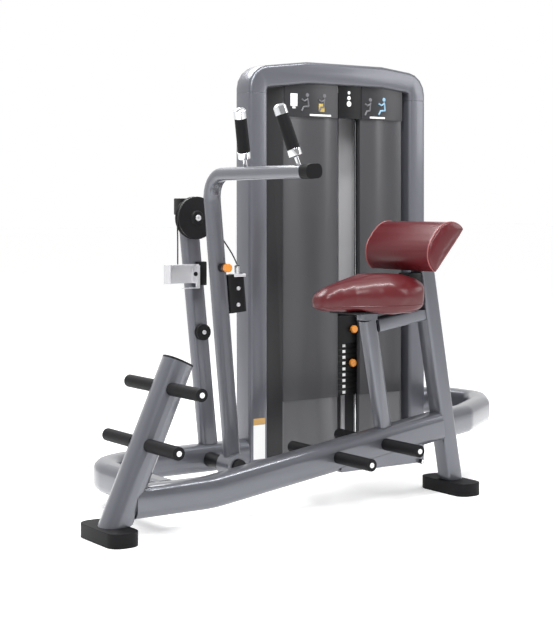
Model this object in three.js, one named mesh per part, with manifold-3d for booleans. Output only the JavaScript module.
// Seated cable row: a selectorised gym machine. Millimetres, +Z up.
// X runs along the user's beam from the footrest post to the rear leg, +Y points to the tower,
// and the origin is the middle of the footrest post's foot on the floor.
import * as THREE from 'three';
import { mergeVertices } from 'three/addons/utils/BufferGeometryUtils.js';
import Module from 'manifold-3d';

const wasm = await Module();
wasm.setup();

// ---- driving dimensions ----
const GAP = 0.3;
const FOOT = { length: 115, width: 270, height: 50, corner: 45 };
const TUBE = { width: 100, height: 112, corner: 32 };
const BEAM = { y: 0, z: 122, bendX: 400, endX: 1510, rise: 0.139 };
const LOOP = { leftX: 240, rearY: 625, corner: 200, splitX: 500, rightZ: 268 };
const POST = { lean: THREE.MathUtils.degToRad(24.5), depth: 108, width: 102, length: 655 };
const LEG = { x: 1545, lean: THREE.MathUtils.degToRad(9.9), depth: 70, width: 80, top: 985 };
const PEG = { reach: 253, radius: 23, bar: 11, grip: 205 };
const TOWER = { left: 958, right: 1902, front: 575, depth: 113, top: 1757, tube: 92, corner: 16 };
const SLOT = { left: 1430, right: 1550 };
const SHROUD = { front: 600, thickness: 10, bottom: 322, top: 1668 };
const COVER = { left: 1030, right: 1830, back: 770, wall: 8 };
const STACK = { x: 1508, front: 640, back: 740, width: 290, pitch: 25.4, base: 320, lifted: 4, resting: 5 };
const ROD = { radius: 7, bumper: 14, spread: 87, y: 690 };
const ARM = {
  x: 764, y: 406, z: 122, lean: THREE.MathUtils.degToRad(5.2),
  width: 66, thickness: 50, top: 1152, nearEnd: -238,
};
const SEAT = { nose: 867, rear: 1338, half: 152, bottom: 744, thickness: 134 };
const LUMBAR = { half: 202, foot: [1299, 887], head: [1447, 1057], depth: 98 };
const DISC = { x: 700, z: 1098, radius: 86 };
const HANDLE = { offset: 12, near: -186, far: 168, rise: 8, splay: 0.2, lean: -0.16 };

// ---- materials ----
const material = (color, roughness, metalness) =>
  () => new THREE.MeshStandardMaterial({ color, roughness, metalness });
const paint = material(0x6f727c, 0.42, 0.35);
const rubber = material(0x17181a, 0.75, 0.0);
const blackPlastic = material(0x1d1e20, 0.5, 0.0);
const blackSteel = material(0x202124, 0.45, 0.4);
const shroudPlastic = material(0x55565a, 0.4, 0.1);
const vinyl = material(0x73282b, 0.45, 0.0);
const chrome = material(0xc9ccd0, 0.15, 1.0);
const silver = material(0xb9bcc0, 0.35, 0.7);
const orange = material(0xd98a1c, 0.4, 0.0);
const cord = material(0x151515, 0.5, 0.0);

// ---- solid helpers ----
const v3 = (x, y, z) => new THREE.Vector3(x, y, z);

// A rounded rectangle as a closed ring of [across, up] pairs.
function roundedRing(width, height, radius, steps = 3) {
  const ring = [];
  const r = Math.min(radius, width / 2 - 0.01, height / 2 - 0.01);
  const centres = [[1, 1], [-1, 1], [-1, -1], [1, -1]];
  centres.forEach(([sx, sy], quarter) => {
    for (let i = 0; i <= steps; i += 1) {
      const a = (quarter + i / steps) * Math.PI / 2;
      ring.push([sx * (width / 2 - r) + r * Math.cos(a), sy * (height / 2 - r) + r * Math.sin(a)]);
    }
  });
  return ring;
}

// Triangles that close a ring, all wound the way the ring runs.
function capFaces(ring) {
  const normal = v3();
  ring.forEach((p, i) => normal.add(p.clone().cross(ring[(i + 1) % ring.length])));
  const [ax, ay, az] = normal.toArray().map(Math.abs);
  const flat = (p) => {
    if (az >= ax && az >= ay) return new THREE.Vector2(p.x, p.y);
    return ax >= ay ? new THREE.Vector2(p.y, p.z) : new THREE.Vector2(p.z, p.x);
  };
  const contour = ring.map(flat);
  const way = Math.sign(THREE.ShapeUtils.area(contour));
  return THREE.ShapeUtils.triangulateShape(contour.slice(), []).map(([a, b, c]) => {
    const turn = THREE.ShapeUtils.area([contour[a], contour[b], contour[c]]);
    return Math.sign(turn) === way ? [a, b, c] : [a, c, b];
  });
}

// Rings of points joined into one closed solid.
function skin(rings) {
  const count = rings[0].length;
  const positions = rings.flat().flatMap((p) => [p.x, p.y, p.z]);
  const index = [];
  for (let k = 0; k + 1 < rings.length; k += 1) {
    for (let i = 0; i < count; i += 1) {
      const j = (i + 1) % count;
      const a = k * count;
      const b = a + count;
      index.push(a + i, a + j, b + j, a + i, b + j, b + i);
    }
  }
  const last = (rings.length - 1) * count;
  for (const [a, b, c] of capFaces(rings[0])) index.push(a, c, b);
  for (const [a, b, c] of capFaces(rings[rings.length - 1])) index.push(last + a, last + b, last + c);
  const geometry = new THREE.BufferGeometry();
  geometry.setAttribute('position', new THREE.Float32BufferAttribute(positions, 3));
  geometry.setIndex(index);
  return outward(geometry);
}

// Turns a closed mesh's faces outward.
function outward(geometry) {
  const p = geometry.attributes.position;
  const ix = geometry.index.array;
  const [a, b, c] = [v3(), v3(), v3()];
  let volume = 0;
  for (let i = 0; i < ix.length; i += 3) {
    a.fromBufferAttribute(p, ix[i]);
    b.fromBufferAttribute(p, ix[i + 1]);
    c.fromBufferAttribute(p, ix[i + 2]);
    volume += a.dot(b.cross(c));
  }
  if (volume < 0) {
    for (let i = 0; i < ix.length; i += 3) [ix[i], ix[i + 1]] = [ix[i + 1], ix[i]];
  }
  return geometry;
}

// A tube of rounded-rectangle section along a flat path; `side` is square to the path's plane.
function sweep(path, side, width, height, radius, steps = 3) {
  const ring = roundedRing(width, height, radius, steps);
  const across = side.clone().normalize();
  const rings = path.map((point, k) => {
    const before = path[Math.max(k - 1, 0)];
    const after = path[Math.min(k + 1, path.length - 1)];
    const inward = point.clone().sub(before).normalize();
    const onward = after.clone().sub(point).normalize();
    const tangent = inward.clone().add(onward).normalize();
    const stretch = k > 0 && k < path.length - 1 ? 1 / tangent.dot(onward) : 1;
    const up = tangent.clone().cross(across).normalize().multiplyScalar(-stretch);
    return ring.map(([s, t]) => point.clone().addScaledVector(across, s).addScaledVector(up, t));
  });
  return skin(rings);
}

// A polyline with its inner corners rounded to a radius.
function rounded(points, radius, steps = 6) {
  const path = [points[0]];
  for (let k = 1; k + 1 < points.length; k += 1) {
    const toPrev = points[k - 1].clone().sub(points[k]).normalize();
    const toNext = points[k + 1].clone().sub(points[k]).normalize();
    const half = toPrev.angleTo(toNext) / 2;
    const cut = radius / Math.tan(half);
    const centre = points[k].clone()
      .addScaledVector(toPrev.clone().add(toNext).normalize(), radius / Math.sin(half));
    const start = points[k].clone().addScaledVector(toPrev, cut).sub(centre);
    const end = points[k].clone().addScaledVector(toNext, cut).sub(centre);
    const turn = start.angleTo(end);
    const axis = start.clone().cross(end).normalize();
    for (let i = 0; i <= steps; i += 1) {
      path.push(start.clone().applyAxisAngle(axis, turn * i / steps).add(centre));
    }
  }
  path.push(points[points.length - 1]);
  return path;
}

// A box between two corners, with its upright edges rounded.
function block(x0, x1, y0, y1, z0, z1, radius = 0.5, steps = 2) {
  const path = [v3((x0 + x1) / 2, (y0 + y1) / 2, z0), v3((x0 + x1) / 2, (y0 + y1) / 2, z1)];
  return sweep(path, v3(1, 0, 0), x1 - x0, y1 - y0, radius, steps);
}

// A round bar between two points.
function bar(from, to, radius, sides = 18) {
  const axis = to.clone().sub(from);
  const geometry = new THREE.CylinderGeometry(radius, radius, axis.length(), sides);
  const turn = new THREE.Quaternion().setFromUnitVectors(v3(0, 1, 0), axis.clone().normalize());
  geometry.applyQuaternion(turn);
  const middle = from.clone().add(to).multiplyScalar(0.5);
  return geometry.translate(middle.x, middle.y, middle.z);
}

// A turned piece: [radius, height] pairs from the axis to the axis, standing along +Z.
function turned(profile, sides = 20) {
  const points = profile.map(([r, z]) => new THREE.Vector2(r, z));
  return new THREE.LatheGeometry(points, sides).rotateX(Math.PI / 2);
}

// An outline in X and Z, drawn out along Y.
function slabXZ(outline, y0, y1) {
  const rings = [y0, y1].map((y) => outline.map(([x, z]) => v3(x, y, z)));
  return skin(rings);
}

// ---- joining and cutting ----
function toManifold(source) {
  const geometry = source.clone();
  geometry.deleteAttribute('normal');
  geometry.deleteAttribute('uv');
  const merged = mergeVertices(geometry, 1e-3);
  const mesh = new wasm.Mesh({
    numProp: 3,
    vertProperties: new Float32Array(merged.attributes.position.array),
    triVerts: new Uint32Array(merged.index.array),
  });
  mesh.merge();
  return new wasm.Manifold(mesh);
}

function toGeometry(solid) {
  const mesh = solid.getMesh();
  const geometry = new THREE.BufferGeometry();
  geometry.setAttribute('position', new THREE.Float32BufferAttribute(Array.from(mesh.vertProperties), 3));
  geometry.setIndex(Array.from(mesh.triVerts));
  return geometry;
}

function cut(body, ...tools) {
  return toGeometry(tools.reduce((solid, tool) => solid.subtract(toManifold(tool)), toManifold(body)));
}

function join(...bodies) {
  const solids = bodies.map(toManifold);
  return toGeometry(solids.slice(1).reduce((joined, solid) => joined.add(solid), solids[0]));
}

// ---- the object ----
const machine = new THREE.Group();
machine.name = 'seated_cable_row';

function add(name, geometry, finish, parent = machine) {
  const mesh = new THREE.Mesh(geometry, finish());
  mesh.name = name;
  parent.add(mesh);
  return mesh;
}

const Y = v3(0, 1, 0);
const Z = v3(0, 0, 1);
const postDirection = v3(Math.sin(POST.lean), 0, Math.cos(POST.lean));
const legDirection = v3(-Math.sin(LEG.lean), 0, Math.cos(LEG.lean));
const postPath = [v3(0, 0, 0), v3(0, 0, 0).addScaledVector(postDirection, POST.length)];
const legFoot = v3(LEG.x + 8, 0, 0);
const legPath = [legFoot.clone(), legFoot.clone().addScaledVector(legDirection, 1010)];
const floorCut = block(-200, 2000, -300, 300, -200, FOOT.height + GAP);

// A tube's own shape made larger by the gap, used to trim what butts against it.
const postShape = (grow) => sweep(postPath, Y, POST.width + grow, POST.depth + grow, 44);
const legShape = (grow) => sweep(legPath, Y, LEG.width + grow, LEG.depth + grow, 14);
const legSlab = sweep(legPath, Y, 200, LEG.depth + 2 * GAP, 1);
const beamHeight = (x) => BEAM.z + Math.max(0, x - BEAM.bendX) * BEAM.rise;
const beamPath = rounded(
  [v3(85, 0, BEAM.z), v3(BEAM.bendX, 0, BEAM.z), v3(BEAM.endX, 0, beamHeight(BEAM.endX))], 500, 4,
);
const beamShape = (grow) => sweep(beamPath, Y, TUBE.width + grow, TUBE.height + grow, TUBE.corner);

function chordPlane() {
  const [fx, fz] = LUMBAR.foot;
  const [hx, hz] = LUMBAR.head;
  const along = v3(hx - fx, 0, hz - fz);
  const length = along.length();
  along.normalize();
  return { foot: v3(fx, 0, fz), along, length, out: v3(along.z, 0, -along.x) };
}

function addFoot(name, x) {
  const lower = block(x - FOOT.length / 2, x + FOOT.length / 2, -FOOT.width / 2, FOOT.width / 2,
    0, FOOT.height, FOOT.corner, 4);
  add(name, lower, rubber);
}

// A bar through a tube with a rubber grip on each side of it.
function addPegs(name, x, z, tubeHalf) {
  const end = PEG.reach;
  const inner = tubeHalf + GAP;
  const rod = bar(v3(x, -end + 12, z), v3(x, end - 12, z), PEG.bar, 12);
  add(`${name}_bar`, rod, blackSteel);
  for (const [side, sign] of [['near', -1], ['far', 1]]) {
    const sleeve = bar(v3(x, sign * inner, z), v3(x, sign * end, z), PEG.radius, 18);
    const bore = bar(v3(x, sign * (inner - 5), z), v3(x, sign * (end - 12 + GAP), z), PEG.bar + GAP, 12);
    add(`${name}_grip_${side}`, cut(sleeve, bore), rubber);
  }
  return bar(v3(x, -end, z), v3(x, end, z), PEG.bar + GAP, 12);
}

// ---- base frame ----
const upperPeg = addPegs('upper_foot_peg', 218, 509, POST.width / 2);
const lowerPeg = addPegs('lower_foot_peg', 128, 321, POST.width / 2);
const frontPeg = addPegs('front_beam_peg', 944, 200, TUBE.width / 2);
const rearPeg = addPegs('rear_beam_peg', 1172, 229, TUBE.width / 2);

const postBody = cut(postShape(0), floorCut, upperPeg, lowerPeg);
add('footrest_post', postBody, paint);
const capFoot = postPath[1].clone().addScaledVector(postDirection, GAP);
add('footrest_post_cap', sweep([capFoot, capFoot.clone().addScaledVector(postDirection, 7)],
  Y, POST.width - 2, POST.depth - 2, 38), blackPlastic);
addFoot('footrest_post_foot', 0);

add('user_beam', cut(beamShape(0), postShape(2 * GAP), legSlab, frontPeg, rearPeg), paint);

const wedge = slabXZ([[962, 141], [1358, 141], [1358, 240], [962, 185]], -46, 46);
add('peg_bracket', cut(wedge, beamShape(2 * GAP), rearPeg), paint);

const leftLoopPath = rounded([v3(LOOP.leftX, 30, BEAM.z), v3(LOOP.leftX, LOOP.rearY, BEAM.z),
  v3(LOOP.splitX, LOOP.rearY, BEAM.z)], LOOP.corner, 8);
add('ring_left_loop', cut(sweep(leftLoopPath, Z, TUBE.height, TUBE.width, TUBE.corner),
  beamShape(2 * GAP)), paint);
add('ring_rear_run', sweep([v3(LOOP.splitX + GAP, LOOP.rearY, BEAM.z),
  v3(TOWER.left - GAP, LOOP.rearY, BEAM.z)], Z, TUBE.height, TUBE.width, TUBE.corner), paint);

const rightLoopPath = rounded([
  v3(1500, 24, LOOP.rightZ), v3(1690, 92, LOOP.rightZ), v3(1925, 246, LOOP.rightZ),
  v3(2040, 395, LOOP.rightZ), v3(2018, 632, LOOP.rightZ), v3(TOWER.right + GAP, 632, LOOP.rightZ),
], 115, 8);
const towerSide = block(TOWER.left, TOWER.right + GAP, TOWER.front, 760, 0, 600);
add('ring_right_loop', cut(sweep(rightLoopPath, Z, TUBE.height, TUBE.width - 8, TUBE.corner),
  legShape(2 * GAP), beamShape(2 * GAP), towerSide), paint);

add('rear_leg', cut(legShape(0), floorCut, chordCut(8 + GAP)), paint);
addFoot('rear_leg_foot', 1545);

// Everything on the pad's side of the lumbar chord, moved out by `offset`.
function chordCut(offset) {
  const { foot, along, out } = chordPlane();
  const base = foot.clone().addScaledVector(out, offset);
  const a = base.clone().addScaledVector(along, -300);
  const b = base.clone().addScaledVector(along, 600);
  const c = b.clone().addScaledVector(out, -500);
  const d = a.clone().addScaledVector(out, -500);
  return slabXZ([[a.x, a.z], [b.x, b.z], [c.x, c.z], [d.x, d.z]], -300, 300);
}

// ---- seat ----
const seatPostPath = [v3(1218, 0, 180), v3(1120, 0, SEAT.bottom - 8 - GAP - 30)];
const seatPostTop = block(1086, 1154, -26, 26, SEAT.bottom - 8 - GAP - 30, SEAT.bottom - 8 - GAP, 6);
const seatPostBody = join(sweep(seatPostPath, Y, 52, 58, 12), seatPostTop);
const seatPostSolid = cut(seatPostBody, beamShape(2 * GAP), block(900, 1400, -200, 200, 0, 215), rearPeg);
add('seat_post', seatPostSolid, paint);
const railPath = [v3(1125, 0, 681), v3(1440, 0, 728)];
add('seat_rail', cut(sweep(railPath, Y, 56, 54, 10),
  sweep([v3(1218, 0, 180), v3(1112, 0, 749)], Y, 70, 70, 2), legShape(2 * GAP),
  block(1000, 1500, -100, 100, SEAT.bottom - 8 - GAP, 900)), paint);
add('seat_plate', block(985, 1318, -85, 85, SEAT.bottom - 8, SEAT.bottom - GAP, 30, 3), blackSteel);

// The seat's outline: a narrow rounded nose that widens to the rear.
function seatRing(rearZ, noseZ, inset, front = inset) {
  const half = [];
  const steps = 14;
  const height = (x) => {
    const s = (x - SEAT.nose) / (SEAT.rear - SEAT.nose);
    return THREE.MathUtils.lerp(rearZ, noseZ, Math.max(0, 1 - s / 0.6) ** 2);
  };
  for (let i = 0; i <= steps; i += 1) {
    const t = i / steps;
    const x = SEAT.nose + front + (SEAT.rear - SEAT.nose - inset - front) * (1 - Math.cos(Math.PI * t)) / 2;
    const s = (x - SEAT.nose) / (SEAT.rear - SEAT.nose);
    const nose = 62 * Math.sqrt(Math.max(0, 1 - Math.max(0, 1 - s / 0.12) ** 2));
    const flare = (SEAT.half - 62) * THREE.MathUtils.smoothstep(s, 0.12, 0.62);
    const tail = Math.sqrt(Math.max(0, 1 - Math.max(0, (s - 0.82) / 0.18) ** 2.6));
    const edge = (nose + flare) * tail;
    half.push([x, Math.max(edge * 0.25, edge - inset)]);
  }
  half[0][1] = 0;
  half[steps][1] = 0;
  const back = half.slice(1, -1).reverse().map(([x, y]) => [x, -y]);
  return half.concat(back).map(([x, y]) => v3(x, y, height(x)));
}
const seatTop = SEAT.bottom + SEAT.thickness;
add('seat_pad', skin([seatRing(SEAT.bottom, SEAT.bottom + 14, 9),
  seatRing(SEAT.bottom + 12, SEAT.bottom + 22, 0), seatRing(seatTop - 56, seatTop - 82, 0),
  seatRing(seatTop - 40, seatTop - 72, 12), seatRing(seatTop - 16, seatTop - 60, 48),
  seatRing(seatTop, seatTop, 90, 240)]), vinyl);

// ---- lumbar half roll ----
function lumbarOutline(shrink) {
  const { foot, along, length, out } = chordPlane();
  const middle = foot.clone().addScaledVector(along, length / 2);
  const outline = [];
  const steps = 14;
  for (let i = 0; i <= steps; i += 1) {
    const a = Math.PI * i / steps;
    const s = Math.sign(Math.cos(a)) * Math.abs(Math.cos(a)) ** 0.85;
    const p = middle.clone().addScaledVector(along, (length / 2 - shrink) * s)
      .addScaledVector(out, -(LUMBAR.depth - shrink) * Math.sin(a) ** 0.9);
    outline.push([p.x, p.z]);
  }
  return outline;
}
add('lumbar_pad', slabXZ(lumbarOutline(0), -LUMBAR.half, LUMBAR.half), vinyl);
function lumbarPlate() {
  const { foot, along, length, out } = chordPlane();
  const corner = (s, t) => {
    const p = foot.clone().addScaledVector(along, s).addScaledVector(out, t);
    return [p.x, p.z];
  };
  const outline = [corner(15, GAP), corner(length - 15, GAP), corner(length - 15, 8), corner(15, 8)];
  return slabXZ(outline, -150, 150);
}
add('lumbar_plate', lumbarPlate(), blackSteel);

// ---- tower ----
const frameY = TOWER.front + TOWER.depth / 2;
const leftX = TOWER.left + TOWER.tube / 2;
const rightX = TOWER.right - TOWER.tube / 2;
const towerTube = (path) => sweep(path, Y, TOWER.depth, TOWER.tube, TOWER.corner);
const archZ = TOWER.top - TOWER.tube / 2;
const archEnd = 1615;
const archPath = rounded([v3(leftX, frameY, archEnd + GAP), v3(leftX, frameY, archZ - 30),
  v3((leftX + rightX) / 2 - 170, frameY, archZ), v3((leftX + rightX) / 2 + 230, frameY, archZ),
  v3(rightX, frameY, archZ - 22), v3(rightX, frameY, archEnd + GAP)], 56, 4);
add('tower_left_upright', towerTube([v3(leftX, frameY, 0), v3(leftX, frameY, archEnd)]), paint);
add('tower_right_upright', towerTube([v3(rightX, frameY, 0), v3(rightX, frameY, archEnd)]), paint);
add('tower_arch', towerTube(archPath), paint);
const innerLeft = TOWER.left + TOWER.tube + GAP;
const innerRight = TOWER.right - TOWER.tube - GAP;
const rodSeat = block(STACK.x - 115, STACK.x + 115, 660, 750, 36, 60, 4);
add('tower_base', join(block(innerLeft, innerRight, 626, 686, 36, 60, 4), rodSeat), paint);

const archCut = sweep(archPath, Y, TOWER.depth + 2 * GAP, TOWER.tube + 2 * GAP, TOWER.corner);

// A front shroud: the panel, its kick panel below, a return along the slot and a flange to the upright.
function shroud(outerX, bendX, slotX, uprightX) {
  const inward = Math.sign(slotX - outerX);
  const span = (a, b, ...rest) => block(Math.min(a, b), Math.max(a, b), ...rest);
  const back = SHROUD.front + SHROUD.thickness;
  const front = span(bendX, slotX, SHROUD.front, back, SHROUD.bottom, SHROUD.top, 3);
  const kick = span(bendX + inward * 6, slotX, SHROUD.front + 5, back + 4, 64, SHROUD.bottom + 1, 3);
  const side = span(slotX - inward * SHROUD.thickness, slotX, SHROUD.front + 5, SHROUD.front + 24, 64,
    SHROUD.top - 2, 1);
  const bend = v3(bendX + inward * 4, SHROUD.front + 7, 0);
  const corner = v3(outerX, SHROUD.front + 34, 0);
  const middle = bend.clone().add(corner).multiplyScalar(0.5);
  const across = corner.clone().sub(bend);
  const fold = sweep([middle.clone().setZ(70), middle.clone().setZ(SHROUD.top - 4)],
    across.clone().normalize(), across.length() + 6, 8, 2);
  const flange = span(uprightX, outerX, SHROUD.front + 30, SHROUD.front + 38, 70, SHROUD.top - 4, 1);
  return cut(join(front, kick, side, fold, flange), archCut);
}
add('shroud_left', shroud(1100, 1142, SLOT.left, innerLeft), shroudPlastic);
add('shroud_right', shroud(1790, 1782, SLOT.right, innerRight), shroudPlastic);

const placard = (x0, x1) => cut(
  block(x0, x1, SHROUD.front - 7, SHROUD.front - GAP, 1524, SHROUD.top, 6), archCut);
add('placard_left', placard(1144, SLOT.left - 4), blackPlastic);
add('placard_right', placard(SLOT.right + 4, 1784), blackPlastic);
add('slot_header', placard(SLOT.left - 2, SLOT.right + 2), blackPlastic);

const coverBack = TOWER.front + TOWER.depth + GAP;
const coverOuter = block(COVER.left, COVER.right, coverBack, COVER.back, 64, 1640, 30, 3);
const coverInner = block(
  COVER.left + COVER.wall, COVER.right - COVER.wall, coverBack - 40, COVER.back - COVER.wall,
  40, 1640 - COVER.wall, 24, 3);
add('rear_cover', cut(coverOuter, coverInner), shroudPlastic);

// ---- weight stack ----
const liftedBottom = STACK.base + STACK.resting * STACK.pitch;
const liftedTop = liftedBottom + STACK.lifted * STACK.pitch;
const rodX = [STACK.x - ROD.spread, STACK.x + ROD.spread];

// A pile of plates, grooved at the front and back where one plate meets the next.
function plates(bottom, count) {
  const outline = [];
  const groove = 2.2;
  for (let i = 0; i < count; i += 1) {
    const z = bottom + i * STACK.pitch;
    outline.push([STACK.front, z + groove], [STACK.front, z + STACK.pitch - groove]);
    if (i + 1 < count) outline.push([STACK.front + groove, z + STACK.pitch]);
  }
  for (let i = count - 1; i >= 0; i -= 1) {
    const z = bottom + i * STACK.pitch;
    if (i + 1 < count) outline.push([STACK.back - groove, z + STACK.pitch]);
    outline.push([STACK.back, z + STACK.pitch - groove], [STACK.back, z + groove]);
  }
  outline[0][1] = bottom;
  outline[outline.length - 1][1] = bottom;
  const top = bottom + count * STACK.pitch;
  for (const point of outline) {
    if (Math.abs(point[1] - (top - groove)) < 1e-6) point[1] = top - GAP;
  }
  const rings = [STACK.x - STACK.width / 2, STACK.x + STACK.width / 2]
    .map((x) => outline.map(([y, z]) => v3(x, y, z)));
  return skin(rings);
}
const hole = (x, radius) => bar(v3(x, ROD.y, 200), v3(x, ROD.y, 900), radius, 12);
const rodHoles = rodX.map((x) => hole(x, ROD.radius + 1.5));
const pinZ = liftedBottom + STACK.pitch / 2;
const pinX = STACK.x + 23;
const knobX = STACK.x + 20;
const pinHole = bar(v3(pinX, 600, pinZ), v3(pinX, ROD.y - 22, pinZ), 6.2, 16);
add('lifted_plates', cut(plates(liftedBottom, STACK.lifted), ...rodHoles, hole(STACK.x, 7 + GAP), pinHole),
  blackSteel);
add('resting_plates', cut(plates(STACK.base, STACK.resting), ...rodHoles, hole(STACK.x, 8.5)), blackSteel);
const headBlock = block(STACK.x - 112, STACK.x + 112, STACK.front - 12, STACK.back - 6,
  liftedTop, liftedTop + 116, 8);
const stem = bar(v3(STACK.x, ROD.y, STACK.base + 4), v3(STACK.x, ROD.y, liftedTop + 20), 7, 12);
const knobHole = bar(v3(knobX, 600, 608), v3(knobX, 660, 608), 6.7, 16);
add('stack_head', cut(join(headBlock, stem), ...rodHoles, knobHole), blackPlastic);
function knob(x, z, front, shaft, depth) {
  const profile = [[0, 0], [15, 0], [17, 4], [17, 14], [12, 20], [shaft, 20], [shaft, depth], [0, depth]];
  return turned(profile, 16).rotateX(-Math.PI / 2).translate(x, front, z);
}
add('selector_pin', knob(pinX, pinZ, STACK.front - 22, 5.5, 46), orange);
add('add_on_knob', knob(knobX, 608, STACK.front - 34, 6, 46), orange);
rodX.forEach((x, i) => {
  const profile = [[0, 60 + GAP], [ROD.bumper, 60 + GAP], [ROD.bumper, STACK.base - GAP],
    [ROD.radius, STACK.base - GAP], [ROD.radius, 1580], [0, 1580]];
  add(`guide_rod_${i ? 'right' : 'left'}`, turned(profile, 14).translate(x, ROD.y, 0), chrome);
});
const crownHoles = rodX.map((x) => bar(v3(x, ROD.y, 1500), v3(x, ROD.y, 1580 + GAP), ROD.radius + GAP, 14));
const crownPlate = block(innerLeft, innerRight, 640, 740, 1560, 1600, 4);
add('tower_crown_plate', cut(crownPlate, ...crownHoles), blackSteel);

// ---- pull arm ----
const arm = new THREE.Group();
arm.name = 'pull_arm';
arm.position.set(ARM.x, 0, ARM.z);
arm.rotation.y = -ARM.lean;
machine.add(arm);
const armPath = rounded([v3(0, ARM.y, 30), v3(0, ARM.y, ARM.top), v3(0, ARM.nearEnd, ARM.top)], 105, 8);
const hub = bar(v3(0, ARM.y - 42, 0), v3(0, ARM.y + 42, 0), 50, 24);
const shaftBore = bar(v3(0, ARM.y - 60, 0), v3(0, ARM.y + 60, 0), 30.5, 24);
const barrel = bar(v3(4, ARM.y - 20, 786), v3(4, ARM.y - 54, 786), 15, 16);
const armBody = join(sweep(armPath, v3(1, 0, 0), ARM.width, ARM.thickness, 20), hub, barrel);
const pinSeat = bar(v3(4, ARM.y - 70, 786), v3(4, ARM.y - 7, 786), 6 + GAP, 10);
const stemFoot = (sign) => bar(v3(0, 0, 6 - GAP), v3(0, 0, 60), 8 + GAP, 14)
  .rotateY(HANDLE.lean).rotateX(sign * HANDLE.splay)
  .translate(HANDLE.offset, sign < 0 ? HANDLE.near : HANDLE.far, ARM.top + HANDLE.rise);
add('arm_tube', cut(armBody, shaftBore, pinSeat, stemFoot(1), stemFoot(-1)), paint, arm);
add('arm_end_cap', sweep([v3(0, ARM.nearEnd - GAP, ARM.top), v3(0, ARM.nearEnd - 50, ARM.top)],
  v3(1, 0, 0), ARM.width + 4, ARM.thickness + 3, 20), rubber, arm);

// Each handle: a chrome core with its collar and crown, and a rubber grip between them.
const core = [[0, 6], [8, 6], [8, 46], [25, 50], [25, 76], [12, 76], [12, 206], [24, 206], [24, 236],
  [17, 244], [0, 246]];
const sleeve = [[12.3, 76.3], [23, 76.3], [24, 80], [23, 205.7], [12.3, 205.7], [12.3, 76.3]];
for (const [side, sign] of [['near', -1], ['far', 1]]) {
  const handle = new THREE.Group();
  handle.position.set(HANDLE.offset, sign < 0 ? HANDLE.near : HANDLE.far, ARM.top + HANDLE.rise);
  handle.rotation.set(sign * HANDLE.splay, HANDLE.lean, 0);
  arm.add(handle);
  add(`handle_core_${side}`, turned(core), chrome, handle);
  add(`handle_grip_${side}`, turned(sleeve), rubber, handle);
}

// The start-position pull pin, in a barrel on the arm's near face.
const pullPin = join(bar(v3(4, ARM.y - 8, 786), v3(4, ARM.y - 70, 786), 6, 10),
  bar(v3(4, ARM.y - 60, 786), v3(4, ARM.y - 78, 786), 17, 16));
add('start_pin', pullPin, orange, arm);

// The housing that clamps the cable, on the arm's rear edge.
const edge = ARM.width / 2;
const housingBox = block(edge + GAP, edge + 82, ARM.y - 18, ARM.y + 18, 600, 752, 14, 3);
const clevis = bar(v3(92, ARM.y, 740), v3(92, ARM.y, 784), 10, 14);
add('cable_housing', join(housingBox, clevis), blackPlastic, arm);

// ---- pivot shaft and rear upright ----
const shaftEnds = [v3(ARM.x, 352, ARM.z), v3(ARM.x, LOOP.rearY - 45, ARM.z)];
const rearTube = sweep([v3(LOOP.splitX, LOOP.rearY, BEAM.z), v3(960, LOOP.rearY, BEAM.z)], Z,
  TUBE.height + 2 * GAP, TUBE.width + 2 * GAP, TUBE.corner);
add('arm_pivot_shaft', cut(bar(shaftEnds[0], shaftEnds[1], 30, 24), rearTube), blackSteel);

const uprightFoot = v3(792, LOOP.rearY, 110);
const uprightTop = v3(683, LOOP.rearY, 1170);
const upright = sweep([uprightFoot, uprightTop], Y, 50, 80, 20);
add('rear_upright', cut(upright, rearTube, block(600, 900, 500, 800, 0, 168)), paint);
const discBack = LOOP.rearY - 25 - GAP;
const discProfile = [
  [0, 0], [DISC.radius, 0], [DISC.radius, 6], [DISC.radius - 10, 11], [DISC.radius - 10, 21],
  [DISC.radius, 26], [DISC.radius, 32], [30, 32], [26, 38], [0, 38]];
const disc = turned(discProfile, 28).rotateX(Math.PI / 2);
add('cable_disc', disc.translate(DISC.x, discBack, DISC.z), blackPlastic);

// A U-shaped bracket on the rear upright's near face.
const uBlank = join(block(560, 706, 560, discBack, 836, 912, 6), block(622, 706, 552, 564, 816, 908, 6));
const uHollow = block(572, 690, 540, 590, 820, 910, 4);
add('upright_bracket', cut(uBlank, uHollow), silver);
const lowPulley = turned([[0, 0], [33, 0], [33, 5], [28, 9], [28, 13], [33, 17], [33, 22], [0, 22]], 20)
  .rotateX(Math.PI / 2);
add('lower_pulley', lowPulley.translate(738, discBack, 636), blackPlastic);

// ---- cable ----
function ropeTube(points, radius) {
  const curve = new THREE.CatmullRomCurve3(points, false, 'centripetal');
  const circle = new THREE.Shape().absarc(0, 0, radius, 0, 2 * Math.PI, false);
  const options = { steps: 24, extrudePath: curve, curveSegments: 4, bevelEnabled: false };
  return new THREE.ExtrudeGeometry(circle, options);
}
const grooveY = discBack - 16;
const grooveR = DISC.radius - 4;
const cablePoints = [v3(785, 407, 916), v3(789, 445, 952), v3(790, 545, 1030),
  v3(DISC.x + grooveR, grooveY - 2, 1062)];
for (let i = 0; i <= 6; i += 1) {
  const a = Math.PI * i / 6;
  cablePoints.push(v3(DISC.x + grooveR * Math.cos(a), grooveY, DISC.z + grooveR * Math.sin(a)));
}
cablePoints.push(v3(DISC.x - grooveR, grooveY, 1010), v3(DISC.x - grooveR, grooveY, 913));
add('pull_cable', ropeTube(cablePoints, 3), cord);

export default machine;
